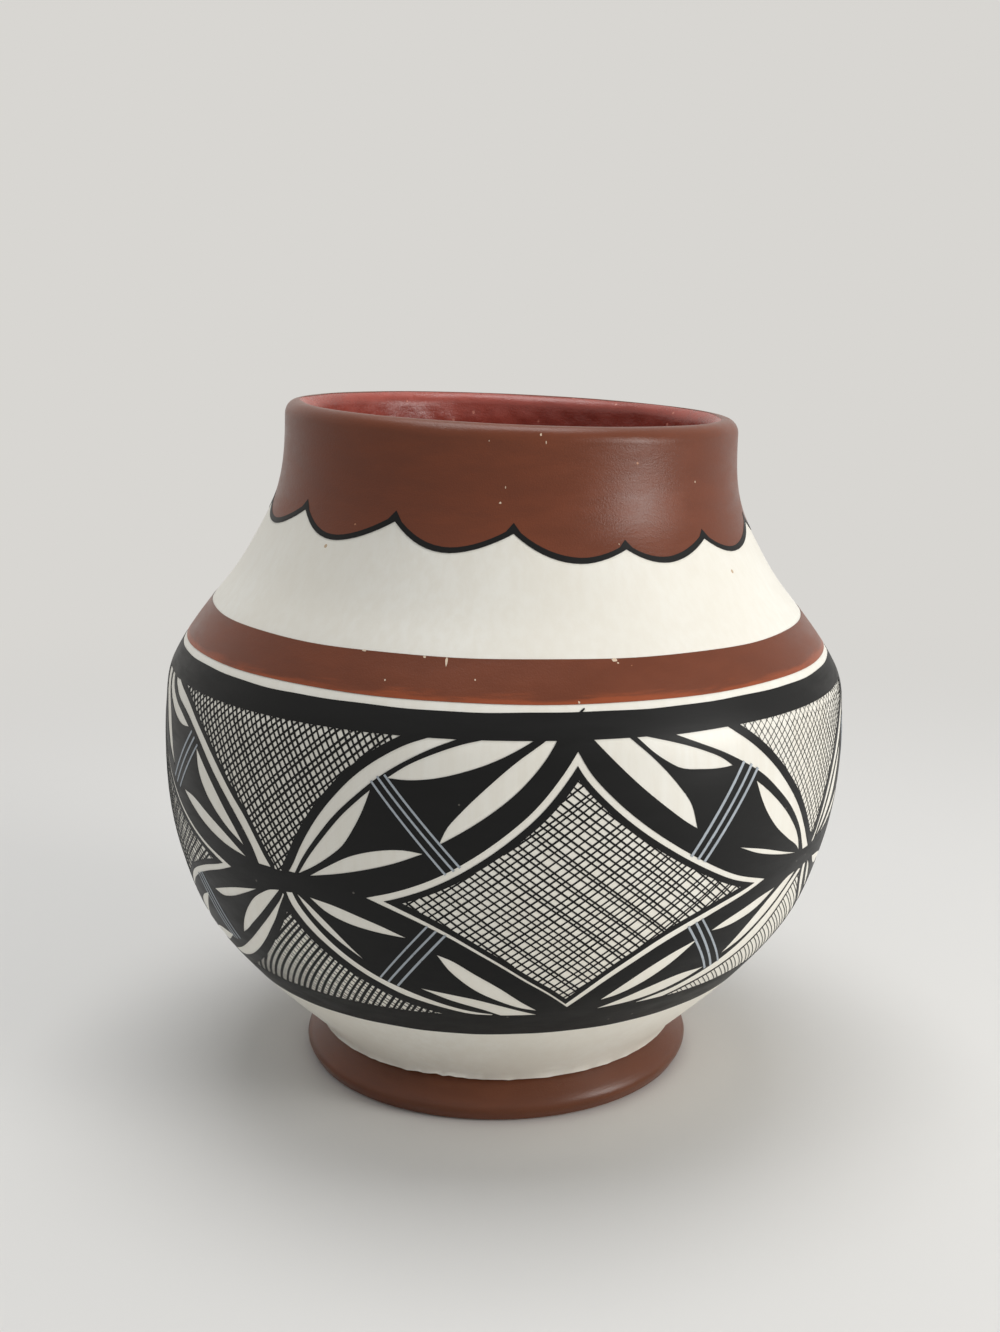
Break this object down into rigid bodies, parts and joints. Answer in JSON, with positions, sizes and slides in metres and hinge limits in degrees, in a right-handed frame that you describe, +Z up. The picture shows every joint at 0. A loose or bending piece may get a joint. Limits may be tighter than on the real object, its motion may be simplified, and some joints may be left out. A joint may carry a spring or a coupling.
{
  "type": "pueblo pottery vase",
  "caption": "Round hand-coiled pottery vase with a short neck, a ring foot, a brown collar with a scalloped edge, and black and white brushwork round the belly.",
  "frame": {"origin": "on the floor under the middle of the belly, which is the middle of the overall box; the foot is 2.4 mm to -X of it, because the hand-built pot leans", "axes": "+Z up, -Y the front seen in the picture, +X to the right as seen from the front"},
  "size_m": [0.2059, 0.2058, 0.2032],
  "materials": {
    "clay": "matte",
    "white_slip": "satin",
    "brown_slip": "satin",
    "foot_slip": "satin",
    "mouth_slip": "gloss",
    "black_slip": "satin"
  },
  "bodies": {
    "root": {"foot_ring": "clay", "base_disc": "clay", "bowl_coil": "clay", "lower_belly_coil": "clay", "belly_coil": "clay", "upper_belly_coil": "clay", "shoulder_coil": "clay", "slope_coil": "clay", "neck_coil": "clay", "rim_coil": "clay", "foot_slip": "foot_slip", "white_slip": "white_slip", "mouth_slip": "mouth_slip", "collar_slip": "brown_slip", "collar_line": "black_slip", "shoulder_band": "brown_slip", "black_paint": "black_slip", "diamond_frame_1": "black_slip", "diamond_frame_2": "black_slip", "diamond_frame_3": "black_slip", "diamond_frame_4": "black_slip"}
  },
  "joints": []
}
